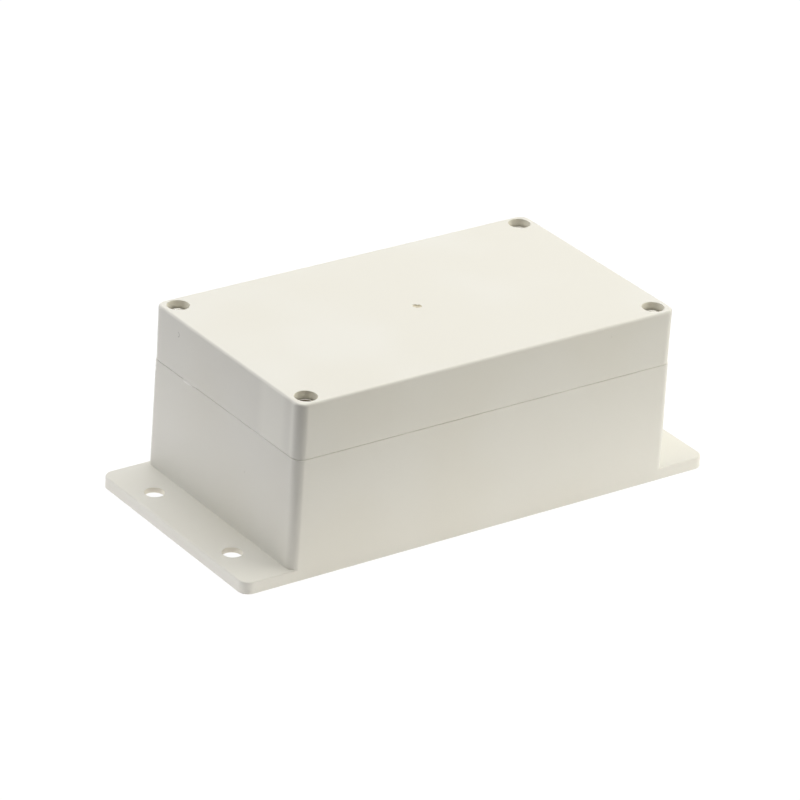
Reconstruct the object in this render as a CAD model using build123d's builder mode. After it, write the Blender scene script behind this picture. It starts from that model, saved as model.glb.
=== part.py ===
from build123d import *
import math
import os

# A wall-mounting plastic box, moulded as a flanged base and a lid, with a seal between them.
# Millimetres. +X runs along the long side and +Z is up.
# The origin is the centre of the mounting face, under the base.

# Outside form, with the plan sizes taken at the split line
body_length = 158.4
body_width = 90.6
corner_radius = 4.0
base_height = 45.9
lid_height = 20.6
base_draft = 0.6                # degrees, the base widens towards its mounting face
lid_edge_radius = 1.3
seam_chamfer = 0.25             # breaks both rims where the shells meet

# Mounting flange: a tab past each end wall, flush with the long sides of the base
flange_tab = 18.55              # from the end wall to the end of the flange, at its top
flange_thickness = 4.6
flange_corner_radius = 4.0
flange_edge_chamfer = 0.5
flange_hole_diameter = 7.0
flange_hole_inset = 8.8         # from the end of the flange
flange_hole_pitch_y = 49.4
flange_skin = 2.1               # the tabs are hollow underneath and leave this thickness
flange_skirt = 2.4              # rim left round the hollow of each tab

# Shell thicknesses
wall = 3.0
floor_thickness = 3.0
lid_top_thickness = 3.0

# Lid screws: cross-recessed heads, sunk below the top of the lid
screw_inset_x = 6.2             # from the end faces at the split line to each screw's axis
screw_inset_y = 5.75            # the same from the long sides
screw_diameter = 4.0
thread_reach = 9.6              # how far each screw goes below the rim of the base
screw_head_diameter = 7.2
screw_head_height = 3.1
screw_crown_height = 0.5        # the sloping part of the head's height
screw_crown_width = 0.8
drive_span = 4.2
drive_width = 1.0
drive_depth = 1.7
head_recess_diameter = 8.0
head_recess_depth = 5.2
shank_clearance = 0.25          # lid hole around the shank
column_wall = 1.6               # plastic around each head recess
column_blend = 2.0              # fillet where a column runs into the walls

# Brass inserts that the screws thread into
insert_length = 8.0
insert_wall = 0.8
thread_clearance = 0.1
insert_fit = 0.05
tip_room = 3.0                  # hole left below the tip of a screw

# Seal between the shells: a tongue on the base presses a gasket into a groove in the lid
tongue_thickness = 1.4
tongue_height = 2.0
tongue_clearance = 0.3
gasket_height = 1.5
gasket_clearance = 0.1
rib_thickness = 1.2             # lid rib that hangs inside the mouth of the base
rib_drop = 1.0
rib_clearance = 0.4
band_height = 1.5               # plastic over the groove that carries the rib

# Slots in the rim of the base, one at each end, for prying off the lid
pry_slot_offset = 21.4          # from the middle of the end wall to the middle of the slot
pry_slot_length = 8.3
pry_slot_height = 1.1
pry_slot_peak = 0.8             # share of the length at which the slot is deepest
pry_slot_radius = 1.2
pry_slot_depth = 1.2
pry_slot_rise = 0.9             # how far the bottom of the slot climbs on its way in

# Standoffs for a circuit board
board_pitch_x = 120.0
board_pitch_y = 52.0
standoff_diameter = 7.0
standoff_height = 6.0
standoff_hole_diameter = 2.9
standoff_hole_depth = 6.5

# Moulding gate in the middle of the lid
gate_diameter = 3.2
gate_depth = 0.35

# Places that follow from the sizes above
overall_height = base_height + lid_height
screw_x = body_length / 2 - screw_inset_x
screw_y = body_width / 2 - screw_inset_y
seat_z = overall_height - head_recess_depth
screw_length = seat_z - base_height + thread_reach
column_radius = head_recess_diameter / 2 + column_wall
insert_radius = screw_diameter / 2 + thread_clearance + insert_wall
insert_hole_radius = insert_radius + insert_fit
insert_hole_depth = thread_reach + tip_room
groove_height = tongue_height + gasket_height
lid_inside_z = overall_height - lid_top_thickness
standoff_top_z = floor_thickness + standoff_height
flange_flare = (base_height - flange_thickness) * math.tan(math.radians(base_draft))
flange_width = body_width + 2 * flange_flare
flange_length = body_length + 2 * (flange_flare + flange_tab)
flange_hole_pitch_x = flange_length - 2 * flange_hole_inset
hollow_length = flange_tab - flange_skirt
hollow_x = flange_length / 2 - flange_skirt - hollow_length / 2
corners = {
    "front_left": (-screw_x, -screw_y),
    "front_right": (screw_x, -screw_y),
    "rear_left": (-screw_x, screw_y),
    "rear_right": (screw_x, screw_y),
}

os.makedirs("parts", exist_ok=True)


def save(builder, label):
    builder.part.label = label
    export_step(builder.part, f"parts/{label}.step")


# The mouth of the cavity: the inside of the walls, stepping round the four screw columns.
# The seal follows this line, so every part of it is this outline grown or shrunk.
with BuildSketch() as mouth:
    Rectangle(body_length - 2 * wall, body_width - 2 * wall)
    with GridLocations(2 * screw_x, 2 * screw_y, 2, 2):
        Rectangle(2 * column_radius, 2 * column_radius, mode=Mode.SUBTRACT)
    wall_corners = mouth.vertices().group_by(SortBy.DISTANCE)[1:]
    for four in wall_corners:
        fillet(four, radius=column_blend)
    column_corners = mouth.vertices().group_by(SortBy.DISTANCE)[0]
    fillet(column_corners, radius=column_radius)


def grown(amount):
    return offset(mouth.sketch, amount=amount, kind=Kind.ARC, mode=Mode.PRIVATE)


# Mounting flange, with its top edge eased before the base stands on it
with BuildPart() as flange:
    with BuildSketch(Plane.XY.offset(flange_thickness)):
        RectangleRounded(flange_length, flange_width, flange_corner_radius)
    extrude(amount=-flange_thickness, taper=-base_draft)
    chamfer(flange.faces().sort_by(Axis.Z)[-1].edges(), length=flange_edge_chamfer)

# Base: outer wall, flange, cavity, seal tongue, insert holes and board standoffs
with BuildPart() as base:
    with BuildSketch(Plane.XY.offset(base_height)):
        RectangleRounded(body_length, body_width, corner_radius)
    extrude(amount=-base_height, taper=-base_draft)
    chamfer(base.faces().sort_by(Axis.Z)[-1].edges(), length=seam_chamfer)
    add(flange.part)

    with BuildSketch(Plane.XY.offset(base_height)):
        add(mouth.sketch)
    extrude(amount=floor_thickness - base_height, mode=Mode.SUBTRACT)

    with BuildSketch(Plane.XY.offset(base_height)):
        add(grown(tongue_thickness))
        add(mouth.sketch, mode=Mode.SUBTRACT)
    extrude(amount=tongue_height)

    with Locations(Plane.XY.offset(base_height)):
        with GridLocations(2 * screw_x, 2 * screw_y, 2, 2):
            Hole(insert_hole_radius, depth=insert_hole_depth)

    with BuildSketch(Plane.XY.offset(floor_thickness)):
        with GridLocations(board_pitch_x, board_pitch_y, 2, 2):
            Circle(standoff_diameter / 2)
    extrude(amount=standoff_height)
    with Locations(Plane.XY.offset(standoff_top_z)):
        with GridLocations(board_pitch_x, board_pitch_y, 2, 2):
            Hole(standoff_hole_diameter / 2, depth=standoff_hole_depth)

    # The tabs are cored from below, up to the end walls
    with BuildSketch(Plane.XY):
        with GridLocations(2 * hollow_x, 0, 2, 1):
            Rectangle(hollow_length, flange_width - 2 * flange_skirt)
    extrude(amount=flange_thickness - flange_skin, mode=Mode.SUBTRACT)
    with Locations(Plane.XY.offset(flange_thickness)):
        with GridLocations(flange_hole_pitch_x, flange_hole_pitch_y, 2, 2):
            Hole(flange_hole_diameter / 2, depth=flange_thickness)

    # Each pry slot is a shallow notch in the rim, steep at one end, that climbs as it goes in
    for side in (-1, 1):
        end_face = Plane(
            origin=(side * body_length / 2, side * -pry_slot_offset, base_height),
            x_dir=(0, -side, 0),
            z_dir=(-side, 0, 0),
        )
        with BuildSketch(end_face) as slot:
            with BuildLine():
                Polyline(
                    (-pry_slot_length / 2, 0),
                    (pry_slot_length * (pry_slot_peak - 0.5), -pry_slot_height),
                    (pry_slot_length / 2, 0),
                    close=True,
                )
            make_face()
            fillet(slot.vertices().sort_by(Axis.Y)[0], radius=pry_slot_radius)
        extrude(
            amount=math.hypot(pry_slot_depth, pry_slot_rise),
            dir=(-side * pry_slot_depth, 0, pry_slot_rise),
            both=True,
            mode=Mode.SUBTRACT,
        )
save(base, "base")

# Lid: outer shell, cavity, corner columns, seal groove and the rib inside the mouth
with BuildPart() as lid:
    with BuildSketch(Plane.XY.offset(base_height)):
        RectangleRounded(body_length, body_width, corner_radius)
    extrude(amount=lid_height)
    chamfer(lid.faces().sort_by(Axis.Z)[0].edges(), length=seam_chamfer)
    fillet(lid.faces().sort_by(Axis.Z)[-1].edges(), radius=lid_edge_radius)

    with BuildSketch(Plane.XY.offset(base_height)):
        add(mouth.sketch)
    extrude(amount=lid_inside_z - base_height, mode=Mode.SUBTRACT)

    # The band closes the groove from above and carries the rib
    with BuildSketch(Plane.XY.offset(base_height + groove_height)):
        add(grown(rib_clearance))
        add(grown(-rib_clearance - rib_thickness), mode=Mode.SUBTRACT)
    extrude(amount=band_height)
    with BuildSketch(Plane.XY.offset(base_height - rib_drop)):
        add(grown(-rib_clearance))
        add(grown(-rib_clearance - rib_thickness), mode=Mode.SUBTRACT)
    extrude(amount=rib_drop + groove_height)
    with BuildSketch(Plane.XY.offset(base_height)):
        add(grown(tongue_thickness + tongue_clearance))
        add(grown(-rib_clearance), mode=Mode.SUBTRACT)
    extrude(amount=groove_height, mode=Mode.SUBTRACT)

    with Locations(Plane.XY.offset(overall_height)):
        with GridLocations(2 * screw_x, 2 * screw_y, 2, 2):
            CounterBoreHole(
                radius=screw_diameter / 2 + shank_clearance,
                counter_bore_radius=head_recess_diameter / 2,
                counter_bore_depth=head_recess_depth,
                depth=lid_height,
            )

    # The gate mark is a shallow dimple where the sprue broke off
    with Locations(Plane.XY.offset(overall_height)):
        Hole(gate_diameter / 2, depth=gate_depth)
save(lid, "lid")

# Gasket: a closed loop that fills the top of the groove, over the tongue
with BuildPart() as gasket:
    with BuildSketch(Plane.XY.offset(base_height + tongue_height)):
        add(grown(tongue_thickness + tongue_clearance - gasket_clearance))
        add(grown(gasket_clearance - rib_clearance), mode=Mode.SUBTRACT)
    extrude(amount=gasket_height)
save(gasket, "gasket")


def threaded_insert(x, y):
    # Turned brass sleeve, flush with the top of its column.
    profile_plane = Plane(origin=(x, y, base_height), x_dir=(1, 0, 0), z_dir=(0, -1, 0))
    bore_radius = screw_diameter / 2 + thread_clearance
    with BuildPart() as insert:
        with BuildSketch(profile_plane):
            with BuildLine():
                Polyline(
                    (bore_radius, 0),
                    (insert_radius, 0),
                    (insert_radius, -insert_length),
                    (bore_radius, -insert_length),
                    close=True,
                )
            make_face()
        revolve(axis=Axis((x, y, 0), (0, 0, 1)))
    return insert


def lid_screw(x, y):
    # The head stands on the seat of its recess, with a sloping crown and a cross in it.
    profile_plane = Plane(origin=(x, y, seat_z), x_dir=(1, 0, 0), z_dir=(0, -1, 0))
    head_radius = screw_head_diameter / 2
    shank_radius = screw_diameter / 2
    with BuildPart() as screw:
        with BuildSketch(profile_plane):
            with BuildLine():
                Polyline(
                    (0, screw_head_height),
                    (head_radius - screw_crown_width, screw_head_height),
                    (head_radius, screw_head_height - screw_crown_height),
                    (head_radius, 0),
                    (shank_radius, 0),
                    (shank_radius, -screw_length),
                    (0, -screw_length),
                    close=True,
                )
            make_face()
        revolve(axis=Axis((x, y, 0), (0, 0, 1)))
        with BuildSketch(Plane.XY.offset(seat_z + screw_head_height).move(Location((x, y, 0)))):
            Rectangle(drive_span, drive_width)
            Rectangle(drive_width, drive_span)
        extrude(amount=-drive_depth, mode=Mode.SUBTRACT)
    return screw


for corner, (x, y) in corners.items():
    save(threaded_insert(x, y), f"threaded_insert_{corner}")
    save(lid_screw(x, y), f"lid_screw_{corner}")
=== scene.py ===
import math

import bmesh
import bpy
from mathutils import Matrix, Vector, noise


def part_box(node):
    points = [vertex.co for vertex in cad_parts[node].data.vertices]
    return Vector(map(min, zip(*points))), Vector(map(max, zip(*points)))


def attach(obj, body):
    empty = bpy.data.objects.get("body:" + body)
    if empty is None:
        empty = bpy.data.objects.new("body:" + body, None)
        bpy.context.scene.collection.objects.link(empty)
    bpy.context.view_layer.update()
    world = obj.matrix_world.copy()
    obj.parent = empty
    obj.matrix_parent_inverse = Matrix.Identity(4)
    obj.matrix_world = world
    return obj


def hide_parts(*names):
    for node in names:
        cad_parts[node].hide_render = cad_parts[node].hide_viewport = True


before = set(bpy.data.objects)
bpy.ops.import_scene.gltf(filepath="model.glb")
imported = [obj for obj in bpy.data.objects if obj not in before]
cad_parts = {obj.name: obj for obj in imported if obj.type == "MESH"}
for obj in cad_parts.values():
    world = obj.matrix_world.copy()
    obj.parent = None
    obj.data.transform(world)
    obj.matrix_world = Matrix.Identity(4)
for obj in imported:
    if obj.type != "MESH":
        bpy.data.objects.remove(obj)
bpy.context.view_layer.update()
print("frame loaded with", len(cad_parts), "nodes")

# Shapes are worked out in millimetres, as a box maker draws them, and scaled to metres at the end
metres = 0.001


def nodeBox(name):
    low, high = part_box(name)
    return low / metres, high / metres


baseLow, baseHigh = nodeBox("base")
lidLow, lidHigh = nodeBox("lid")
gasketLow, gasketHigh = nodeBox("gasket")
insertLow, insertHigh = nodeBox("threaded_insert_rear_right")
screwLow, screwHigh = nodeBox("lid_screw_rear_right")

splitZ = insertHigh.z  # the inserts end flush with the rim of the base
topZ = lidHigh.z
halfLength = lidHigh.x
halfWidth = lidHigh.y
screwX = (screwLow.x + screwHigh.x) / 2
screwY = (screwLow.y + screwHigh.y) / 2
screwPlaces = {
    "front_left": (-screwX, -screwY),
    "front_right": (screwX, -screwY),
    "rear_left": (-screwX, screwY),
    "rear_right": (screwX, screwY),
}

overlap = 1.0  # how far a cutter or an added form goes past the surface that it meets
mergeDistance = 0.0005  # points closer than this are one

# Sizes that both shells share
shell = {
    "wall": 3.0,
    "cornerRadius": 4.0,
    "draft": 0.6,  # degrees, on the base only
    "columnRadius": 5.6,
    "columnBlend": 2.0,
    "baseTighter": 0.35,  # the corners of the base are this much sharper than those of the lid
    "footTighter": 1.6,  # millimetres of corner radius for each millimetre the walls spread
    "cornerSteps": 12,  # pieces in each quarter turn of an outline
}

quarters = ((1, -1), (1, 1), (-1, 1), (-1, -1))  # anticlockwise, as signs of x and y


# An outline is a list of right-angled corners, anticlockwise, each (x, y, radius).
# Growing it moves every side outwards and keeps the roundings concentric.
def roundCorners(corners, grow=0.0):
    points = []
    for i, (x, y, radius) in enumerate(corners):
        lastX, lastY, _ = corners[i - 1]
        nextX, nextY, _ = corners[(i + 1) % len(corners)]
        arriving = Vector((x - lastX, y - lastY)).normalized()
        leaving = Vector((nextX - x, nextY - y)).normalized()
        turn = 1 if arriving.cross(leaving) > 0 else -1
        sideA = Vector((arriving.y, -arriving.x))
        sideB = Vector((leaving.y, -leaving.x))
        bendRadius = radius + turn * grow
        centre = Vector((x, y)) + (grow - turn * bendRadius) * (sideA + sideB)
        for step in range(shell["cornerSteps"] + 1):
            angle = math.pi / 2 * step / shell["cornerSteps"]
            points.append(centre + turn * bendRadius * (sideA * math.cos(angle) + sideB * math.sin(angle)))
    return points


def rectangle(halfX, halfY, radius):
    return [(signX * halfX, signY * halfY, radius) for signX, signY in quarters]


def boxOutline(grow):
    return roundCorners(rectangle(halfLength, halfWidth, shell["cornerRadius"]), grow)


# The corners of the base tighten a little on the way down, as its walls spread
def baseOutline(grow):
    radius = shell["cornerRadius"] - shell["baseTighter"] - shell["footTighter"] * max(grow, 0.0)
    return roundCorners(rectangle(halfLength, halfWidth, radius), grow)


# The mouth steps round the four screw columns, and the seal follows it
def mouthOutline(grow):
    insideX = halfLength - shell["wall"]
    insideY = halfWidth - shell["wall"]
    stepX = screwX - shell["columnRadius"]
    stepY = screwY - shell["columnRadius"]
    quarter = [
        (insideX, stepY, shell["columnBlend"]),
        (stepX, stepY, shell["columnRadius"]),
        (stepX, insideY, shell["columnBlend"]),
    ]
    corners = []
    for signX, signY in quarters:
        walk = quarter if signX * signY > 0 else quarter[::-1]
        corners += [(signX * x, signY * y, radius) for x, y, radius in walk]
    return roundCorners(corners, grow)


def circleOutline(x, y, count=56):
    def outline(radius):
        angles = [2 * math.pi * i / count for i in range(count)]
        return [Vector((x + radius * math.cos(a), y + radius * math.sin(a))) for a in angles]
    return outline


# A profile is a list of (grow, z) points, and the outline is repeated at each one
def rise(outline, profile):
    return [[Vector((point.x, point.y, z)) for point in outline(grow)] for grow, z in profile]


def quarterRound(grow, z, radius, fromAngle, toAngle, steps=5):
    points = []
    for i in range(steps + 1):
        angle = math.radians(fromAngle + (toAngle - fromAngle) * i / steps)
        points.append((grow + radius * math.cos(angle), z + radius * math.sin(angle)))
    return points


def joinRows(solid, rows):
    for lower, upper in zip(rows, rows[1:]):
        for i in range(len(lower)):
            j = (i + 1) % len(lower)
            solid.faces.new((lower[i], lower[j], upper[j], upper[i]))


def skin(solid, rings, hoop=False):
    rows = [[solid.verts.new(point) for point in ring] for ring in rings]
    if hoop:
        rows.append(rows[0])
    else:
        solid.faces.new(list(reversed(rows[0])))
        solid.faces.new(rows[-1])
    joinRows(solid, rows)


def meshFrom(name, solid):
    mesh = bpy.data.meshes.new(name)
    solid.to_mesh(mesh)
    solid.free()
    return mesh


def addObject(name, data):
    added = bpy.data.objects.new(name, data)
    bpy.context.scene.collection.objects.link(added)
    return added


def solidPiece(name, *stacks, hoop=False):
    solid = bmesh.new()
    for rings in stacks:
        skin(solid, rings, hoop)
    bmesh.ops.recalc_face_normals(solid, faces=solid.faces)
    return addObject(name, meshFrom(name, solid))


def carve(piece, cutter, operation="DIFFERENCE"):
    step = piece.modifiers.new("carve", "BOOLEAN")
    step.object = cutter
    step.operation = operation
    step.solver = "EXACT"
    carved = bpy.data.meshes.new_from_object(piece.evaluated_get(bpy.context.evaluated_depsgraph_get()))
    piece.modifiers.clear()
    piece.data = carved
    bpy.data.objects.remove(cutter)


def finishPiece(piece, body, material, stoodFor=(), sharpAngle=38.0):
    tidy = bmesh.new()
    tidy.from_mesh(piece.data)
    bmesh.ops.remove_doubles(tidy, verts=tidy.verts, dist=mergeDistance)
    bmesh.ops.dissolve_degenerate(tidy, edges=tidy.edges, dist=mergeDistance)
    tidy.to_mesh(piece.data)
    tidy.free()
    piece.data.transform(Matrix.Scale(metres, 4))
    piece.data.shade_smooth()
    piece.data.set_sharp_from_angle(angle=math.radians(sharpAngle))
    flats = piece.modifiers.new("flat faces stay flat", "WEIGHTED_NORMAL")
    flats.keep_sharp = True
    flats.weight = 80
    piece.data.materials.clear()
    piece.data.materials.append(material)
    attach(piece, body)
    if stoodFor:
        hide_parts(*stoodFor)
    print("piece ready:", piece.name, len(piece.data.polygons), "faces")


# One socket of a shader tree. Sums written with it become Math nodes.
class Wire:
    def __init__(self, tree, socket):
        self.tree = tree
        self.socket = socket

    def maths(self, operation, first, second):
        return addNode(self.tree, "ShaderNodeMath", {"operation": operation}, {0: first, 1: second})

    def __add__(self, other):
        return self.maths("ADD", self, other)

    def __radd__(self, other):
        return self.maths("ADD", other, self)

    def __sub__(self, other):
        return self.maths("SUBTRACT", self, other)

    def __rsub__(self, other):
        return self.maths("SUBTRACT", other, self)

    def __mul__(self, other):
        return self.maths("MULTIPLY", self, other)

    def __rmul__(self, other):
        return self.maths("MULTIPLY", other, self)

    def __truediv__(self, other):
        return self.maths("DIVIDE", self, other)

    def __rtruediv__(self, other):
        return self.maths("DIVIDE", other, self)

    def __pow__(self, other):
        return self.maths("POWER", self, other)

    def __rpow__(self, other):
        return self.maths("POWER", other, self)

    def __gt__(self, other):
        return self.maths("GREATER_THAN", self, other)

    def __lt__(self, other):
        return self.maths("LESS_THAN", self, other)

    def __abs__(self):
        return self.maths("ABSOLUTE", self, 0.0)


# Adds a node: its settings first, then the values and links of its sockets
def addNode(tree, kind, settings=None, sockets=None, output=0):
    node = tree.nodes.new(kind)
    for name, value in (settings or {}).items():
        setattr(node, name, value)
    for name, value in (sockets or {}).items():
        if isinstance(value, Wire):
            tree.links.new(value.socket, node.inputs[name])
        else:
            node.inputs[name].default_value = value
    return Wire(tree, node.outputs[output]) if node.outputs else None


def newFinish(name):
    material = bpy.data.materials.new(name)
    material.use_nodes = True
    material.node_tree.nodes.clear()
    return material, material.node_tree


def closeFinish(tree, sockets):
    surface = addNode(tree, "ShaderNodeBsdfPrincipled", sockets=sockets)
    addNode(tree, "ShaderNodeOutputMaterial", sockets={"Surface": surface})


# Places on the piece in millimetres, so that every pattern below has a real size
def millimetres(tree):
    place = addNode(tree, "ShaderNodeTexCoord", output=3)
    return addNode(tree, "ShaderNodeVectorMath", {"operation": "SCALE"}, {0: place, "Scale": 1 / metres})


def stretch(tree, place, factors):
    return addNode(tree, "ShaderNodeVectorMath", {"operation": "MULTIPLY"}, {0: place, 1: factors})


def cloud(tree, place, size, detail=2.0, roughness=0.5):
    sockets = {"Vector": place, "Scale": 1 / size, "Detail": detail, "Roughness": roughness}
    return addNode(tree, "ShaderNodeTexNoise", sockets=sockets)


def mixColour(tree, share, first, second):
    settings = {"data_type": "RGBA"}
    return addNode(tree, "ShaderNodeMix", settings, {0: share, 6: first, 7: second}, output=2)


def smooth(tree, value, low, high):
    sockets = {"Value": value, "From Min": low, "From Max": high}
    return addNode(tree, "ShaderNodeMapRange", {"interpolation_type": "SMOOTHSTEP"}, sockets)


def bumpFrom(tree, height):
    return addNode(tree, "ShaderNodeBump", sockets={"Height": height, "Distance": metres, "Strength": 1.0})


plastic = {
    "colour": (0.815, 0.80, 0.725, 1),
    "paler": (0.83, 0.82, 0.755, 1),
    "slotHighlight": (0.97, 0.96, 0.90, 1),  # painted highlight in the pry slots, where light catches their ramps
    "gateShade": (0.72, 0.67, 0.53, 1),  # painted shade inside the mark of the moulding gate
    "recessLight": (0.97, 0.94, 0.83, 1),  # painted light in the screw recesses and the fixing holes, for light that bounces into them and comes through the thin plastic
    "speck": (0.30, 0.28, 0.24, 1),
    "tintSize": 46.0,  # sizes and heights here are in millimetres
    "tintSpan": (0.35, 0.65),  # a span is the part of a noise pattern that is used
    "speckSpacing": 13.0,
    "speckRadius": 0.22,
    "speckCore": 0.4,  # share of the radius that is fully dark
    "speckRarity": 0.72,  # share of the places for a speck that stay empty
    "speckStrength": 0.8,
    "roughness": 0.44,
    "rubbed": 0.05,  # added to the roughness where the plastic is rubbed
    "rubbedSize": 14.0,
    "rubbedSpan": (0.45, 0.75),
    "scratched": 0.05,
    "scratchGrain": (0.05, 0.9, 0.3),  # the faint scratches run along the box
    "scratchSpan": (0.62, 0.72),
    "grain": 0.0012,  # height of the moulded grain
    "grainSize": 0.32,
    "ripple": 0.016,  # height of the slow unevenness of the walls
    "rippleSize": 24.0,
    "endSheen": (0.885, 0.875, 0.80, 1),  # painted sheen: lighter bands on the ends of the lid, near the front corners, where light catches the walls
    "sheenStart": (7.0, 11.0),  # distances from the front wall between which they come in
    "flowEnd": (20.5, 26.0),
    "sheenLine": 4.3,
    "sheenLineWidth": 1.0,
}


# Where the colour of the plastic changes, in millimetres
marks = {
    "slotMargin": 0.25,
    "slotIn": (0.02, 0.6),  # from the outside of the wall
    "slotDown": (0.1, 1.3),  # from the split
    "gateMargin": 0.1,
    "gateDepth": 0.12,
    "recessMargin": 0.03,
    "recessDepth": 7.0,
    "holeMargin": 0.1,
    "endWall": 0.4,  # what lies this close to the ends of the lid is on its end walls
    "nickPlace": (29.6, 60.9),  # a curved nick in the left end of the lid, across and up
    "nickRadius": 0.85,
    "nickWidth": 0.2,
    "nickStrength": 0.4,
}


# How far a point is from the nearest of four upright lines that mirror one another
def fromLines(x, y, lineX, lineY):
    offX, offY = abs(x) - lineX, abs(y) - lineY
    return (offX * offX + offY * offY) ** 0.5


def mouldedPlastic():
    material, tree = newFinish("moulded plastic")
    place = millimetres(tree)
    x, y, z = (addNode(tree, "ShaderNodeSeparateXYZ", sockets={0: place}, output=i) for i in range(3))

    tint = smooth(tree, cloud(tree, place, plastic["tintSize"], 1.0), *plastic["tintSpan"])
    colour = mixColour(tree, tint, plastic["colour"], plastic["paler"])
    # painted sheen: lighter bands on the end walls of the lid
    fromFront = y + halfWidth
    panel = smooth(tree, fromFront, *plastic["sheenStart"])
    panel = panel * (1 - smooth(tree, fromFront, *plastic["flowEnd"]))
    fromLine = (fromFront - plastic["sheenLine"]) / plastic["sheenLineWidth"]
    line = math.e ** (fromLine * fromLine * -1.0)
    onEnd = (abs(x) > halfLength - marks["endWall"]) * (z > splitZ)
    colour = mixColour(tree, (panel + line) * onEnd, colour, plastic["endSheen"])
    nickY = marks["nickPlace"][0]
    offRing = abs(fromLines(y, z, *marks["nickPlace"]) - marks["nickRadius"])
    nick = (marks["nickWidth"] > offRing) * (nickY > y) * (y > 0) * (0 > x) * onEnd
    colour = mixColour(tree, nick * marks["nickStrength"], colour, plastic["speck"])
    cells = {"Vector": place, "Scale": 1 / plastic["speckSpacing"]}
    distance = addNode(tree, "ShaderNodeTexVoronoi", sockets=cells)
    cellTint = addNode(tree, "ShaderNodeTexVoronoi", sockets=cells, output=1)
    luck = addNode(tree, "ShaderNodeSeparateColor", sockets={0: cellTint})
    radius = plastic["speckRadius"] / plastic["speckSpacing"]
    speck = 1 - smooth(tree, distance, plastic["speckCore"] * radius, radius)
    speck = speck * (luck > plastic["speckRarity"])
    colour = mixColour(tree, speck * plastic["speckStrength"], colour, plastic["speck"])

    # painted highlight: the pry slots are paler where light catches their ramps
    slotHighlightMask = prySlot["length"] / 2 + marks["slotMargin"] > abs(abs(y) - prySlot["offset"])
    for depth, (low, high) in ((halfLength - abs(x), marks["slotIn"]), (splitZ - z, marks["slotDown"])):
        slotHighlightMask = slotHighlightMask * (depth > low) * (high > depth)
    colour = mixColour(tree, slotHighlightMask, colour, plastic["slotHighlight"])
    # painted shade: the inside of the gate mark is darker
    gateShadeMask = lid["gateRadius"] + marks["gateMargin"] > fromLines(x, y, 0, 0)
    gateShadeMask = gateShadeMask * (topZ - z > marks["gateDepth"])
    colour = mixColour(tree, gateShadeMask, colour, plastic["gateShade"])
    # painted light: the screw recesses and the fixing holes are paler, for light that bounces into them
    inRecess = lid["recessRadius"] + marks["recessMargin"] > fromLines(x, y, screwX, screwY)
    inRecess = inRecess * (z > topZ - marks["recessDepth"])
    holeX = baseHigh.x - base["flangeHoleInset"]
    inHole = base["flangeHoleRadius"] + marks["holeMargin"] > fromLines(x, y, holeX, base["flangeHoleY"])
    colour = mixColour(tree, inRecess + inHole, colour, plastic["recessLight"])

    rubbed = cloud(tree, place, plastic["rubbedSize"], 3.0, 0.6)
    rubbed = smooth(tree, rubbed, *plastic["rubbedSpan"])
    scratchPlace = stretch(tree, place, plastic["scratchGrain"])
    scratches = smooth(tree, cloud(tree, scratchPlace, 1.0, 2.0), *plastic["scratchSpan"])
    roughness = plastic["roughness"] + plastic["rubbed"] * rubbed + plastic["scratched"] * scratches

    ripple = cloud(tree, place, plastic["rippleSize"], 1.0)
    grain = cloud(tree, place, plastic["grainSize"], 3.0, 0.6)
    height = grain * plastic["grain"] + ripple * plastic["ripple"]
    closeFinish(tree, {
        "Base Color": colour,
        "Roughness": roughness,
        "Normal": bumpFrom(tree, height),
        "IOR": 1.52,
    })
    return material


steel = {
    "colour": (0.62, 0.61, 0.58, 1),
    "dull": (0.48, 0.47, 0.43, 1),
    "driveShade": (0.075, 0.06, 0.042, 1),
    "driveShadeRadius": 1.7,  # painted shade and a dark painted reflection in the drive of each head
    "driveShadeSpread": 0.95,  # and further out on the front left screw
    "driveShadeEdge": 0.1,  # width over which the painted shade fades
    "driveShadeDepth": 2.6,
    "roughness": 0.13,
    "stainSize": 1.6,
    "stainSpan": (0.5, 0.75),
    "stainStrength": 0.6,
    "stained": 0.06,  # added to the roughness where the plating is dull
    "turnedGrain": (1.0, 1.0, 14.0),
    "turnedSize": 1.5,
    "turned": 0.06,
    "turnedHeight": 0.004,
    "pitSize": 0.25,
    "pitHeight": 0.002,
}


def platedSteel():
    material, tree = newFinish("plated steel")
    place = millimetres(tree)
    stain = smooth(tree, cloud(tree, place, steel["stainSize"], 3.0, 0.6), *steel["stainSpan"])
    colour = mixColour(tree, stain * steel["stainStrength"], steel["colour"], steel["dull"])
    x, y, z = (addNode(tree, "ShaderNodeSeparateXYZ", sockets={0: place}, output=i) for i in range(3))
    # painted shade and dark reflection in the drives of the heads, wider on the front left screw
    outward = fromLines(x, y, screwX, screwY) - (0 > x) * (0 > y) * steel["driveShadeSpread"]
    inMiddle = 1 - smooth(tree, outward, steel["driveShadeRadius"] - steel["driveShadeEdge"], steel["driveShadeRadius"])
    middle = inMiddle * (z > screwHigh.z - steel["driveShadeDepth"])
    colour = mixColour(tree, middle, colour, steel["driveShade"])
    turned = cloud(tree, stretch(tree, place, steel["turnedGrain"]), steel["turnedSize"], 2.0)
    pits = cloud(tree, place, steel["pitSize"], 2.0)
    closeFinish(tree, {
        "Base Color": colour,
        "Metallic": 1.0,
        "Roughness": steel["roughness"] + steel["stained"] * stain + steel["turned"] * turned,
        "Normal": bumpFrom(tree, turned * steel["turnedHeight"] + pits * steel["pitHeight"]),
    })
    return material


brass = {
    "colour": (0.80, 0.62, 0.30, 1),
    "tarnish": (0.52, 0.36, 0.16, 1),
    "roughness": 0.24,
    "tarnishSize": 2.2,
    "tarnishSpan": (0.45, 0.8),
    "tarnishStrength": 0.7,
    "tarnished": 0.2,  # added to the roughness
    "ringGrain": (0.2, 0.2, 9.0),
    "ringHeight": 0.006,
}


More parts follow.
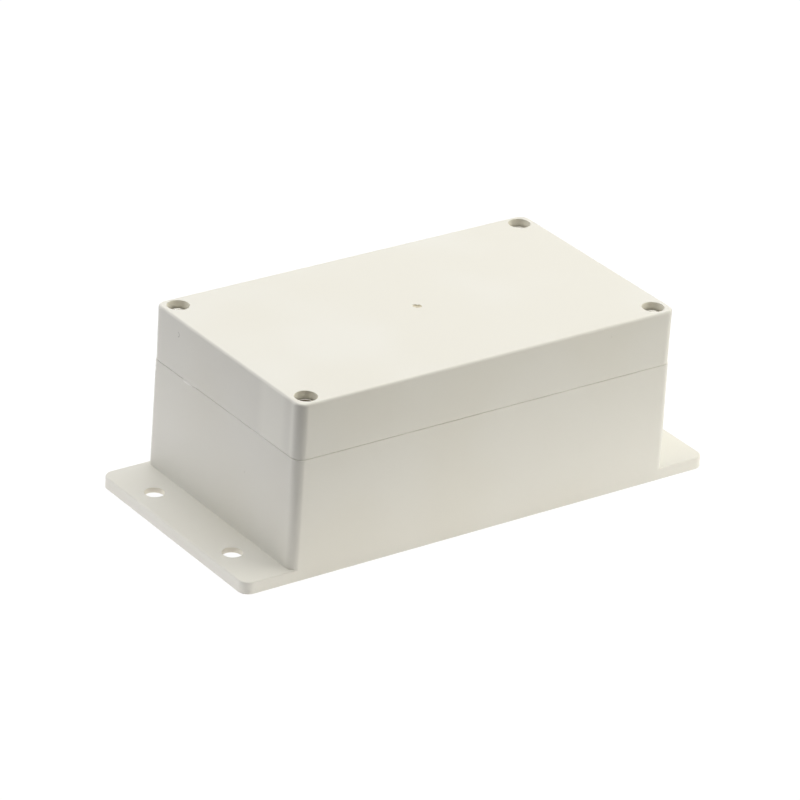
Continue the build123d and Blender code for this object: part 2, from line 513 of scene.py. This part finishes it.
def turnedBrass():
    material, tree = newFinish("turned brass")
    place = millimetres(tree)
    tarnish = smooth(tree, cloud(tree, place, brass["tarnishSize"], 3.0, 0.6), *brass["tarnishSpan"])
    colour = mixColour(tree, tarnish * brass["tarnishStrength"], brass["colour"], brass["tarnish"])
    rings = cloud(tree, stretch(tree, place, brass["ringGrain"]), 1.0, 2.0)
    closeFinish(tree, {
        "Base Color": colour,
        "Metallic": 1.0,
        "Roughness": brass["roughness"] + brass["tarnished"] * tarnish,
        "Normal": bumpFrom(tree, rings * brass["ringHeight"]),
    })
    return material


rubber = {
    "colour": (0.035, 0.035, 0.036, 1),
    "dusty": (0.075, 0.074, 0.070, 1),
    "roughness": 0.62,
    "dustSize": 5.0,
    "dustSpan": (0.45, 0.75),
    "dustRough": 0.15,  # added to the roughness
    "poreSize": 0.18,
    "poreHeight": 0.02,
    "waveSize": 7.0,
    "waveHeight": 0.03,
}


def softRubber():
    material, tree = newFinish("soft rubber")
    place = millimetres(tree)
    dust = smooth(tree, cloud(tree, place, rubber["dustSize"], 4.0, 0.65), *rubber["dustSpan"])
    pores = cloud(tree, place, rubber["poreSize"], 2.0)
    waves = cloud(tree, place, rubber["waveSize"], 1.0)
    closeFinish(tree, {
        "Base Color": mixColour(tree, dust, rubber["colour"], rubber["dusty"]),
        "Roughness": rubber["roughness"] + rubber["dustRough"] * dust,
        "Normal": bumpFrom(tree, pores * rubber["poreHeight"] + waves * rubber["waveHeight"]),
    })
    return material


base = {
    "floor": 3.0,
    "floorRound": 1.0,
    "footRound": 0.3,
    "rimRound": 0.3,
    "slit": 0.05,  # half of the fine gap that shows between the two rims
    "slitReach": 1.2,
    "slitDrop": 0.1,  # the lid laps this far over the outer edge of the rim
    "flangeThickness": 4.6,
    "flangeCorner": 4.0,
    "flangeRound": 0.6,
    "flangeSkin": 2.1,  # the tabs are hollow underneath
    "flangeSkirt": 2.4,
    "hollowCorner": 1.5,
    "hollowWallCorner": 0.3,
    "hollowRound": 0.3,
    "flangeInset": 0.01,  # keeps the flange just inside the long walls, where they are flush
    "flangeHoleRadius": 3.5,
    "flangeHoleInset": 8.8,
    "flangeHoleY": 24.7,
    "holeLip": 0.25,
    "tongueThickness": 1.4,
    "tongueRound": 0.35,
    "tongueRoot": 1.5,  # how deep it stands in the wall
    "insertDepth": 12.6,
    "insertFit": 0.05,
    "insertLip": 0.1,
    "boardX": 60.0,
    "boardY": 26.0,
    "standoffRadius": 3.5,
    "standoffHeight": 6.0,
    "standoffBlend": 0.8,
    "pilotRadius": 1.45,
    "pilotDepth": 6.5,
}


def throughHole(x, y, radius, low, high, lip):
    profile = [(radius + lip, low - overlap)] + quarterRound(radius + lip, low + lip, lip, 270, 180)
    profile += quarterRound(radius + lip, high - lip, lip, 180, 90) + [(radius + lip, high + overlap)]
    return rise(circleOutline(x, y), profile)


def blindHole(x, y, radius, low, high, lip):
    profile = [(radius - lip, low), (radius, low + lip)]
    profile += quarterRound(radius + lip, high - lip, lip, 180, 90) + [(radius + lip, high + overlap)]
    return rise(circleOutline(x, y), profile)


def makeBase():
    lean = math.tan(math.radians(shell["draft"]))
    foot, rim, lip = base["footRound"], base["rimRound"], base["holeLip"]
    tongueTop = baseHigh.z
    floorZ = base["floor"]

    rimZ, reach = splitZ - base["slitDrop"] - base["slit"], base["slitReach"]
    profile = quarterRound(splitZ * lean - foot, foot, foot, 270, 360)
    profile += quarterRound(-rim, rimZ - rim, rim, 0, 90)
    profile += [(-reach, rimZ), (-reach, splitZ)]
    body = solidPiece("base_shell", rise(baseOutline, profile))

    flangeTop = base["flangeThickness"]
    edge = base["flangeRound"]
    flangeCorners = rectangle(baseHigh.x, baseHigh.y - base["flangeInset"], base["flangeCorner"])
    profile = quarterRound(-foot, foot, foot, 270, 360)
    profile += quarterRound(-flangeTop * lean - edge, flangeTop - edge, edge, 0, 90)
    flange = solidPiece("flange", rise(lambda grow: roundCorners(flangeCorners, grow), profile))
    carve(body, flange, "UNION")

    thick, roundTop = base["tongueThickness"], base["tongueRound"]
    profile = [(thick, splitZ - base["tongueRoot"])]
    profile += quarterRound(thick - roundTop, tongueTop - roundTop, roundTop, 0, 90)
    carve(body, solidPiece("tongue", rise(mouthOutline, profile)), "UNION")

    bend = base["floorRound"]
    profile = quarterRound(-bend, floorZ + bend, bend, 270, 360)
    profile += quarterRound(roundTop, tongueTop - roundTop, roundTop, 180, 90)
    profile += [(roundTop, tongueTop + overlap)]
    carve(body, solidPiece("cavity", rise(mouthOutline, profile)))

    stands, holes = [], []
    hollowTop = flangeTop - base["flangeSkin"]
    standTop = floorZ + base["standoffHeight"]
    standRadius, blend = base["standoffRadius"], base["standoffBlend"]
    for signX, signY in quarters:
        x, y = signX * base["boardX"], signY * base["boardY"]
        profile = [(standRadius + blend, floorZ - overlap)]
        profile += quarterRound(standRadius + blend, floorZ + blend, blend, 270, 180)
        profile += quarterRound(standRadius - lip, standTop - lip, lip, 0, 90)
        stands.append(rise(circleOutline(x, y), profile))
        holes.append(blindHole(x, y, base["pilotRadius"], standTop - base["pilotDepth"], standTop, lip))
        x, y = signX * (baseHigh.x - base["flangeHoleInset"]), signY * base["flangeHoleY"]
        holes.append(throughHole(x, y, base["flangeHoleRadius"], hollowTop, flangeTop, lip))
    for x, y in screwPlaces.values():
        radius = (insertHigh.x - insertLow.x) / 2 + base["insertFit"]
        holes.append(blindHole(x, y, radius, splitZ - base["insertDepth"], splitZ, base["insertLip"]))

    # Each tab is hollow from the end wall outwards, with rounder corners away from the wall
    wallX, endX = halfLength + splitZ * lean, baseHigh.x - base["flangeSkirt"]
    sideY = baseHigh.y - base["flangeSkirt"]
    wallCorner, endCorner, bend = base["hollowWallCorner"], base["hollowCorner"], base["hollowRound"]
    profile = [(0, -overlap), (0, hollowTop - bend), (-bend / 3, hollowTop - bend / 3), (-bend, hollowTop)]
    for side in (1, -1):
        hollow = [(wallX, -sideY, wallCorner), (endX, -sideY, endCorner)]
        hollow += [(endX, sideY, endCorner), (wallX, sideY, wallCorner)]
        hollow = [(side * x, side * y, radius) for x, y, radius in hollow]
        carve(body, solidPiece("hollow", rise(lambda grow: roundCorners(hollow, grow), profile)))
    carve(body, solidPiece("standoffs", *stands), "UNION")
    carve(body, solidPiece("holes", *holes, *prySlots(prySlot["depth"])))
    return body


prySlot = {
    "offset": 21.4,  # from the middle of the end wall
    "length": 8.3,
    "depth": 1.0,  # into the rim of the base
    "rise": 0.5,  # into the edge of the lid
    "flat": (0.62, 0.9),  # shares of the length between which it is deepest
    "reach": 0.45,  # how far it runs in from the outside
    "past": 0.5,  # how far the cutter stands out
    "steps": 24,
}


# The slot is a steep ramp, deepest near one end, that climbs as it goes in.
# The lid has a low one that faces it.
def prySlots(depth):
    length, reach = prySlot["length"], prySlot["reach"]
    start, stop = prySlot["flat"]
    past, count = prySlot["past"], prySlot["steps"]
    rimZ = splitZ - base["slitDrop"]
    beyond = rimZ + math.copysign(past, depth)
    stacks = []
    for side in (-1, 1):
        rings = []
        for out, deep in ((past, depth * (1 + past / reach)), (-reach, 0.0)):
            ring = []
            for i in range(count + 1):
                share = i / count
                fall = min(share / start, 1.0, (1 - share) / (1 - stop))
                fall = (fall * fall * (3 - 2 * fall) + fall) / 2  # half eased, half straight
                along = prySlot["offset"] + (share - 0.5) * length
                ring.append(Vector((side * (halfLength + out), -side * along, rimZ - deep * fall)))
            for along in (prySlot["offset"] + length / 2, prySlot["offset"] - length / 2):
                ring.append(Vector((side * (halfLength + out), -side * along, beyond)))
            rings.append(ring)
        stacks.append(rings)
    return stacks


lid = {
    "top": 3.0,
    "smaller": 0.06,  # than the base, all round
    "edgeRound": 1.1,
    "rimRound": 0.12,
    "insideRound": 1.0,
    "tongueGap": 0.3,
    "ribGap": 0.4,
    "ribThickness": 1.2,
    "ribRound": 0.3,
    "ribRoot": 0.5,
    "bandHeight": 1.5,
    "recessRadius": 4.0,
    "recessDepth": 5.2,
    "recessLip": 0.15,
    "recessRound": 0.1,
    "shankHole": 2.25,
    "shankLip": 0.3,
    "gateRadius": 1.6,
    "gateDepth": 0.6,
    "gateLip": 0.2,
    "gateSlope": (0.35, 0.1),  # how far in its floor and its side lie
    "gateBend": 0.7,  # share of the depth at which the side turns in to the floor
    "gateBearing": 53.0,  # the side that the runner was twisted off towards
    "gateDent": 0.45,  # share of the radius
    "gateNarrow": 0.2,
}


# The mark of the gate is a circle with a dent on one side, and a little narrower on the other
def gateOutline(radius):
    points = []
    for point in circleOutline(0, 0)(radius):
        facing = math.cos(math.atan2(point.y, point.x) - math.radians(lid["gateBearing"]))
        dent, narrow = lid["gateDent"] * max(facing, 0) ** 10, lid["gateNarrow"] * max(-facing, 0) ** 3
        points.append(point * (1 - dent - narrow))
    return points


def makeLid():
    edge, rim = lid["edgeRound"], lid["rimRound"]
    rimZ, reach = splitZ - base["slitDrop"] + base["slit"], base["slitReach"]
    profile = [(-reach, splitZ), (-reach, rimZ)]
    profile += quarterRound(-lid["smaller"] - rim, rimZ + rim, rim, 270, 360)
    profile += quarterRound(-lid["smaller"] - edge, topZ - edge, edge, 0, 90, 8)
    body = solidPiece("lid_shell", rise(boxOutline, profile))

    # Groove for the tongue and the seal, then the rib that hangs inside it
    outer = base["tongueThickness"] + lid["tongueGap"]
    grooveTop = gasketHigh.z
    carve(body, solidPiece("groove", rise(mouthOutline, [(outer, splitZ - overlap), (outer, grooveTop)])))
    soft = lid["ribRound"]
    ribOut = -lid["ribGap"]
    ribIn = ribOut - lid["ribThickness"]
    profile = quarterRound(ribOut - soft, lidLow.z + soft, soft, 270, 360)
    profile += [(ribOut, grooveTop + lid["ribRoot"])]
    carve(body, solidPiece("rib", rise(mouthOutline, profile)), "UNION")
    bandTop = grooveTop + lid["bandHeight"]
    inside = topZ - lid["top"]
    bend = lid["insideRound"]
    profile = [(ribIn + soft, lidLow.z - overlap)]
    profile += quarterRound(ribIn + soft, lidLow.z + soft, soft, 270, 180)
    profile += [(ribIn, bandTop), (0, bandTop)] + quarterRound(-bend, inside - bend, bend, 0, 90)
    carve(body, solidPiece("cavity", rise(mouthOutline, profile)))

    # Every screw has a recess for its head, and below it a hole for its shank
    holes = []
    seatZ = topZ - lid["recessDepth"]
    shank, shankLip = lid["shankHole"], lid["shankLip"]
    recess, lip, foot = lid["recessRadius"], lid["recessLip"], lid["recessRound"]
    profile = [(shank + shankLip, splitZ - overlap), (shank + shankLip, splitZ)]
    profile += [(shank, splitZ + shankLip), (shank, seatZ), (recess - foot, seatZ), (recess, seatZ + foot)]
    profile += quarterRound(recess + lip, topZ - lip, lip, 180, 90) + [(recess + lip, topZ + overlap)]
    for x, y in screwPlaces.values():
        holes.append(rise(circleOutline(x, y), profile))
    radius, depth, soft = lid["gateRadius"], lid["gateDepth"], lid["gateLip"]
    floorIn, sideIn = lid["gateSlope"]
    profile = [(radius - floorIn, topZ - depth), (radius - sideIn, topZ - lid["gateBend"] * depth)]
    profile += quarterRound(radius + soft, topZ - soft, soft, 160, 90) + [(radius + soft, topZ + overlap)]
    holes.append(rise(gateOutline, profile))
    carve(body, solidPiece("holes", *holes, *prySlots(-prySlot["rise"])))
    return body


plasticFinish = mouldedPlastic()
steelFinish = platedSteel()
brassFinish = turnedBrass()
rubberFinish = softRubber()
print("finishes ready")

finishPiece(makeBase(), "base", plasticFinish, ["base"])
finishPiece(makeLid(), "lid", plasticFinish, ["lid"])


gateStub = {
    "radius": 0.55,
    "height": 0.28,
    "sunk": 0.1,  # how deep it stands in the floor of the mark
    "taper": 0.3,
    "ragged": 0.1,
    "raggedFoot": 0.3,  # share of it at the foot
    "raggedness": 1.7,  # turns of the tear for each millimetre
    "levels": 7,
    "points": 28,
    "seed": 4,  # holds the tear the same from run to run
}


# The broken end of the sprue stands up ragged in its dimple
def makeGateStub():
    noise.seed_set(gateStub["seed"])
    rings = []
    bottom = topZ - lid["gateDepth"] - gateStub["sunk"]
    outline = circleOutline(0, 0, gateStub["points"])
    for level in range(gateStub["levels"]):
        rising = level / (gateStub["levels"] - 1)
        ring = []
        for point in outline(gateStub["radius"] * (1 - gateStub["taper"] * rising)):
            place = Vector((point.x, point.y, bottom + (gateStub["height"] + gateStub["sunk"]) * rising))
            torn = noise.noise_vector(place * gateStub["raggedness"]) * gateStub["ragged"]
            ring.append(place + torn * (gateStub["raggedFoot"] + rising))
        rings.append(ring)
    return solidPiece("gate_stub", rings)


finishPiece(makeGateStub(), "lid", plasticFinish)


seal = {
    "gap": 0.1,
    "edgeRound": 0.45,
}


def makeSeal():
    outer = base["tongueThickness"] + lid["tongueGap"] - seal["gap"]
    inner = seal["gap"] - lid["ribGap"]
    bend = seal["edgeRound"]
    low, high = gasketLow.z, gasketHigh.z
    profile = quarterRound(outer - bend, low + bend, bend, 270, 360)
    profile += quarterRound(outer - bend, high - bend, bend, 0, 90)
    profile += quarterRound(inner + bend, high - bend, bend, 90, 180)
    profile += quarterRound(inner + bend, low + bend, bend, 180, 270)
    return solidPiece("seal", rise(mouthOutline, profile), hoop=True)


finishPiece(makeSeal(), "lid", rubberFinish, ["gasket"])

thread = {
    "pitch": 0.7,
    "steps": 48,  # round one turn
    "shares": (0.0, 0.18, 0.5, 0.68),  # root, root, crest and crest, as shares of the pitch
    "mergeDistance": 0.0004,
    "joinDistance": 0.001,  # joins the thread to the turned parts at its ends
}


# Rows of points that follow the helix, held between the two ends.
# Rows that are held at an end fall on one another and are merged.
def threadRows(solid, root, crest, low, high, endDepth):
    pitch, steps = thread["pitch"], thread["steps"]
    levels = [root, root, crest, crest]
    turns = math.ceil((high - low) / pitch) + 2
    rows = []
    for k in range(turns * 4 + 1):
        start = low - pitch + pitch * (k // 4 + thread["shares"][k % 4])
        row = []
        for i in range(steps):
            z = min(max(start + pitch * i / steps, low), high)
            ease = min(1.0, (high - z) / pitch, (z - low) / pitch)
            radius = endDepth + (levels[k % 4] - endDepth) * ease
            angle = 2 * math.pi * i / steps
            row.append(solid.verts.new((radius * math.cos(angle), radius * math.sin(angle), z)))
        rows.append(row)
    for k in range(len(rows) - 5):
        for i in range(steps):
            nextRow, j = (k, i + 1) if i + 1 < steps else (k + 4, 0)
            face = (rows[k][i], rows[nextRow][j], rows[nextRow + 1][j], rows[k + 1][i])
            if len({tuple(round(c, 5) for c in vert.co) for vert in face}) > 2:
                solid.faces.new(face)
    bmesh.ops.remove_doubles(solid, verts=solid.verts, dist=thread["mergeDistance"])
    bmesh.ops.dissolve_degenerate(solid, edges=solid.edges, dist=thread["mergeDistance"])


def turnedRings(solid, profile, capLast=False):
    rings = rise(circleOutline(0, 0, thread["steps"]), profile)
    rows = [[solid.verts.new(point) for point in ring] for ring in rings]
    joinRows(solid, rows)
    if capLast:
        solid.faces.new(rows[-1])


# Joins the parts that were drawn into one solid, and makes a mesh of it
def joinedMesh(name, solid):
    bmesh.ops.remove_doubles(solid, verts=solid.verts, dist=thread["joinDistance"])
    bmesh.ops.recalc_face_normals(solid, faces=solid.faces)
    return meshFrom(name, solid)


screw = {
    "headHeight": 3.1,
    "rimDrop": 0.45,  # the rim of the head lies this far below the height that is free for it
    "rimWidth": 0.85,
    "edgeRound": 0.2,
    "smallRound": 0.1,
    "dishDepth": 0.5,
    "dishBend": (0.62, 0.8),  # where it flattens, as shares of its radius and its depth
    "crest": 2.0,
    "root": 1.62,
    "neck": 1.9,  # radius of the plain length under the head
    "neckLength": 1.2,
    "tip": 1.45,
    "bevel": 0.5,  # height of the slopes at both ends of the thread
    "centre": 0.02,  # radius of the small face that closes each end
    "driveSpan": 2.15,  # from the middle to the end of an arm
    "driveWidth": 0.52,  # half the width of an arm
    "driveFoot": (0.42, 0.7),  # shares of the span and the width that are left at the bottom
    "driveDepth": 1.7,
    "driveLevels": (0.0, 0.55, 1.0),  # from the bottom up, as shares of the depth
    "drivePast": 0.6,  # how far the cutter stands out of the head
    "turns": {"front_left": 24.0, "front_right": 71.0, "rear_left": 8.0, "rear_right": 52.0},
}


def makeScrewMesh():
    headRadius = (screwHigh.x - screwLow.x) / 2
    headTop = screwHigh.z
    seatZ = headTop - screw["headHeight"]
    root, neck, bevel, centre = screw["root"], screw["neck"], screw["bevel"], screw["centre"]
    threadLow, threadHigh = screwLow.z + bevel, seatZ - screw["neckLength"]
    solid = bmesh.new()
    threadRows(solid, root, screw["crest"], threadLow, threadHigh, root)
    tip = [(root, threadLow), (screw["tip"], screwLow.z), (centre, screwLow.z)]
    turnedRings(solid, tip, capLast=True)
    soft, small, dish = screw["edgeRound"], screw["smallRound"], screw["dishDepth"]
    rimTop = headTop - screw["rimDrop"]
    dishRadius = headRadius - screw["rimWidth"]
    profile = [(root, threadHigh), (neck, threadHigh + bevel), (neck, seatZ)]
    profile += [(headRadius - small, seatZ), (headRadius, seatZ + small)]
    profile += quarterRound(headRadius - soft, rimTop - soft, soft, 0, 90, 4)
    profile += quarterRound(dishRadius, rimTop - small, small, 90, 180, 3)
    bendOut, bendDown = screw["dishBend"]
    profile += [(bendOut * dishRadius, rimTop - bendDown * dish), (centre, rimTop - dish)]
    turnedRings(solid, profile, capLast=True)
    blank = addObject("lid_screw", joinedMesh("lid_screw", solid))

    # The cross drive is cut by two blades that taper towards the bottom
    footSpan, footWidth = screw["driveFoot"]
    for turn in (0, 90):
        rings = []
        for share in screw["driveLevels"]:
            reach = screw["driveSpan"] * (footSpan + (1 - footSpan) * share)
            half = screw["driveWidth"] * (footWidth + (1 - footWidth) * share)
            past = screw["drivePast"] if share == 1.0 else 0.0
            z = headTop - screw["driveDepth"] * (1 - share) + past
            rings.append([Vector((signX * reach, signY * half, z)) for signX, signY in quarters])
        blade = solidPiece("drive", rings)
        blade.data.transform(Matrix.Rotation(math.radians(turn), 4, "Z"))
        carve(blank, blade)
    return blank


screwBlank = makeScrewMesh()
for place, (x, y) in screwPlaces.items():
    piece = addObject("screw_" + place, screwBlank.data.copy())
    turn = Matrix.Rotation(math.radians(screw["turns"][place]), 4, "Z")
    piece.data.transform(Matrix.Translation((x, y, 0)) @ turn)
    finishPiece(piece, "screw_" + place, steelFinish, ["lid_screw_" + place], 30.0)
bpy.data.objects.remove(screwBlank)


insert = {
    "crest": 2.03,
    "root": 2.38,
    "lead": 0.35,  # slope at both ends of the thread, and outside at the bottom
    "topBevel": 0.2,
    "knurlTeeth": 12,
    "knurlDepth": 0.14,
    "knurlLean": 0.9,  # teeth that it moves round for each millimetre
    "waist": 0.22,  # depth of the plain groove between the two knurled bands
    "waistSpan": (0.44, 0.56),  # shares of the height
    "levels": 41,
}


# Pressed-in brass sleeve: two knurled bands lean opposite ways, with a plain groove between
def makeInsertMesh():
    low, high = insertLow.z, insertHigh.z
    outer = (insertHigh.x - insertLow.x) / 2
    root, crest, lead, topBevel = insert["root"], insert["crest"], insert["lead"], insert["topBevel"]
    solid = bmesh.new()
    threadRows(solid, root, crest, low + lead, high - lead, crest)
    turnedRings(solid, [(crest, high - lead), (root, high), (outer - topBevel, high)])
    turnedRings(solid, [(crest, low + lead), (root, low), (outer - lead, low)])
    rows = []
    count, levels = thread["steps"], insert["levels"]
    waistLow, waistHigh = insert["waistSpan"]
    for level in range(levels):
        share = level / (levels - 1)
        z = low + (high - low) * share
        row = []
        for i in range(count):
            angle = 2 * math.pi * i / count
            lean = insert["knurlLean"] * (z - low) * (1 if share < 0.5 else -1)
            tooth = abs((angle * insert["knurlTeeth"] / (2 * math.pi) + lean) % 1.0 - 0.5) * 2
            cut = insert["waist"] if waistLow < share < waistHigh else insert["knurlDepth"] * tooth
            if level == 0:
                cut = lead
            elif level == levels - 1:
                cut = topBevel
            radius = outer - cut
            row.append(solid.verts.new((radius * math.cos(angle), radius * math.sin(angle), z)))
        rows.append(row)
    joinRows(solid, rows)
    return joinedMesh("insert", solid)


insertMesh = makeInsertMesh()
for place, (x, y) in screwPlaces.items():
    piece = addObject("insert_" + place, insertMesh.copy())
    piece.data.transform(Matrix.Translation((x, y, 0)))
    finishPiece(piece, "base", brassFinish, ["threaded_insert_" + place], 30.0)
bpy.data.meshes.remove(insertMesh)


studio = {
    "floorSize": 6.0,  # metres, from the middle to each side
    "floorDrop": 0.0002,  # keeps the sheet just clear of the foot of the box
    "sheetWhite": (0.9, 0.9, 0.89, 1),
    "sheetDim": (0.2, 0.2, 0.2, 1),
    "litMiddle": (24.0, 46.0, 0.0),  # middle of the lit part of the sheet, in millimetres
    "litFrom": 150.0,  # distances from there between which the light on the sheet fades
    "litTo": 300.0,
    "tableLight": 0.36,  # light that comes up through the sheet near the box
    "tableTint": (1, 0.95, 0.99, 1),
    "glow": 1.04,  # how white the sheet looks to the eye
    "shadowShare": 0.1,
    "backRoom": (0.036, 0.036, 0.036, 1),  # the white room behind the box and at its sides
    "darkRoom": (0.01, 0.01, 0.01, 1),  # the dark room on the photographer's side
    "photographer": (-0.596, -0.803, 0.0),  # the way to them
    "roomFade": (-0.5, 0.35),  # from square behind the box (-1) to straight at the photographer (1)
}


# What the eye sees directly, in reflections or through holes, as against what only lights the box
def seenRays(tree):
    kinds = ("Is Camera Ray", "Is Glossy Ray", "Is Transmission Ray")
    seen, glossy, through = (addNode(tree, "ShaderNodeLightPath", output=kind) for kind in kinds)
    return seen.maths("MINIMUM", seen + glossy + through, 1.0)


def makeFloor():
    plane = bmesh.new()
    bmesh.ops.create_grid(plane, x_segments=1, y_segments=1, size=studio["floorSize"])
    floor = addObject("floor", meshFrom("floor", plane))
    floor.location.z = -studio["floorDrop"]
    material, tree = newFinish("white sheet")
    sockets = {0: millimetres(tree), 1: studio["litMiddle"]}
    far = addNode(tree, "ShaderNodeVectorMath", {"operation": "DISTANCE"}, sockets, output=1)
    fading = smooth(tree, far, studio["litFrom"], studio["litTo"])
    tone = mixColour(tree, fading, studio["sheetWhite"], studio["sheetDim"])
    paper = addNode(tree, "ShaderNodeBsdfDiffuse", sockets={"Color": tone})
    table = addNode(tree, "ShaderNodeEmission", sockets={
        "Color": mixColour(tree, fading, studio["tableTint"], (0, 0, 0, 1)),
        "Strength": studio["tableLight"],
    })
    paper = addNode(tree, "ShaderNodeAddShader", sockets={0: paper, 1: table})
    glow = addNode(tree, "ShaderNodeEmission", sockets={"Color": (1, 1, 1, 1), "Strength": studio["glow"]})
    share = seenRays(tree) * (1 - studio["shadowShare"] * (1 - fading))
    surface = addNode(tree, "ShaderNodeMixShader", sockets={0: share, 1: paper, 2: glow})
    addNode(tree, "ShaderNodeOutputMaterial", sockets={"Surface": surface})
    floor.data.materials.append(material)


def makeWorld():
    world = bpy.data.worlds.new("studio")
    bpy.context.scene.world = world
    world.use_nodes = True
    tree = world.node_tree
    tree.nodes.clear()
    bearing = addNode(tree, "ShaderNodeTexCoord", output=0)
    sockets = {0: bearing, 1: studio["photographer"]}
    facing = addNode(tree, "ShaderNodeVectorMath", {"operation": "DOT_PRODUCT"}, sockets, output=1)
    fading = smooth(tree, facing, *studio["roomFade"])
    tone = mixColour(tree, fading, studio["backRoom"], studio["darkRoom"])
    room = addNode(tree, "ShaderNodeBackground", sockets={"Color": tone, "Strength": 1.0})
    white = addNode(tree, "ShaderNodeBackground", sockets={"Color": (1, 1, 1, 1), "Strength": 1.0})
    surface = addNode(tree, "ShaderNodeMixShader", sockets={0: seenRays(tree), 1: room, 2: white})
    addNode(tree, "ShaderNodeOutputWorld", sockets={"Surface": surface})


# Soft boxes: bearing and height in degrees as seen from the object, distance and size in metres.
# Those at the sides make no glare, because it turned the top white in low views.
softBoxes = {
    "overhead": {
        "bearing": 58.0, "height": 78.0, "distance": 1.6, "size": 1.6,
        "power": 23.5, "colour": (1.0, 0.985, 0.965), "glare": True,
    },
    "leftBox": {
        "bearing": 142.0, "height": 24.0, "distance": 1.4, "size": 1.2,
        "power": 6.6, "colour": (0.96, 0.96, 1.0), "glare": False,
    },
    "rightBox": {
        "bearing": 327.0, "height": 18.0, "distance": 1.2, "size": 1.1,
        "power": 10.4, "colour": (1.0, 0.975, 0.88), "glare": False,
    },
}


# A vector of length 1, from a bearing anticlockwise from +X and a height above the ground
def direction(bearing, height):
    level = math.cos(height)
    return Vector((math.cos(bearing) * level, math.sin(bearing) * level, math.sin(height)))


def makeLights():
    for name, box in softBoxes.items():
        lamp = bpy.data.lights.new(name, "AREA")
        lamp.shape = "SQUARE"
        lamp.size = box["size"]
        lamp.energy = box["power"]
        lamp.color = box["colour"]
        outward = direction(math.radians(box["bearing"]), math.radians(box["height"]))
        holder = addObject(name, lamp)
        holder.location = outward * box["distance"]
        holder.rotation_euler = outward.to_track_quat("Z", "Y").to_euler()
        holder.visible_glossy = box["glare"]


makeFloor()
makeWorld()
makeLights()
print("studio ready")


camera = {
    "azimuth": -36.564,  # degrees round from the front, from a fit to the photograph's straight edges
    "elevation": 26.541,
    "roll": 3.721,
    "distance": 1.5856,
    "zoomInPixels": 4525.1,
    "aimHeight": 0.029625,
    "aimAcross": -0.00383,
    "aimUp": 0.000033,
    "imageWidth": 800,
    "farthest": 20.0,  # metres
}


def makeCamera():
    azimuth, elevation, roll = (math.radians(camera[key]) for key in ("azimuth", "elevation", "roll"))
    back = direction(azimuth - math.pi / 2, elevation)
    across = Vector((math.cos(azimuth), math.sin(azimuth), 0))
    up = back.cross(across)
    aim = Vector((0, 0, camera["aimHeight"])) + camera["aimAcross"] * across + camera["aimUp"] * up
    tiltedAcross = math.cos(roll) * across + math.sin(roll) * up
    tiltedUp = math.cos(roll) * up - math.sin(roll) * across
    data = bpy.data.cameras.new("camera")
    data.lens = camera["zoomInPixels"] / camera["imageWidth"] * data.sensor_width
    data.clip_end = camera["farthest"]
    holder = addObject("camera", data)
    turn = Matrix((tiltedAcross, tiltedUp, back)).transposed()
    holder.matrix_world = Matrix.Translation(aim + back * camera["distance"]) @ turn.to_4x4()
    bpy.context.scene.camera = holder


makeCamera()
bpy.context.scene.view_settings.view_transform = "Standard"
print("camera ready")
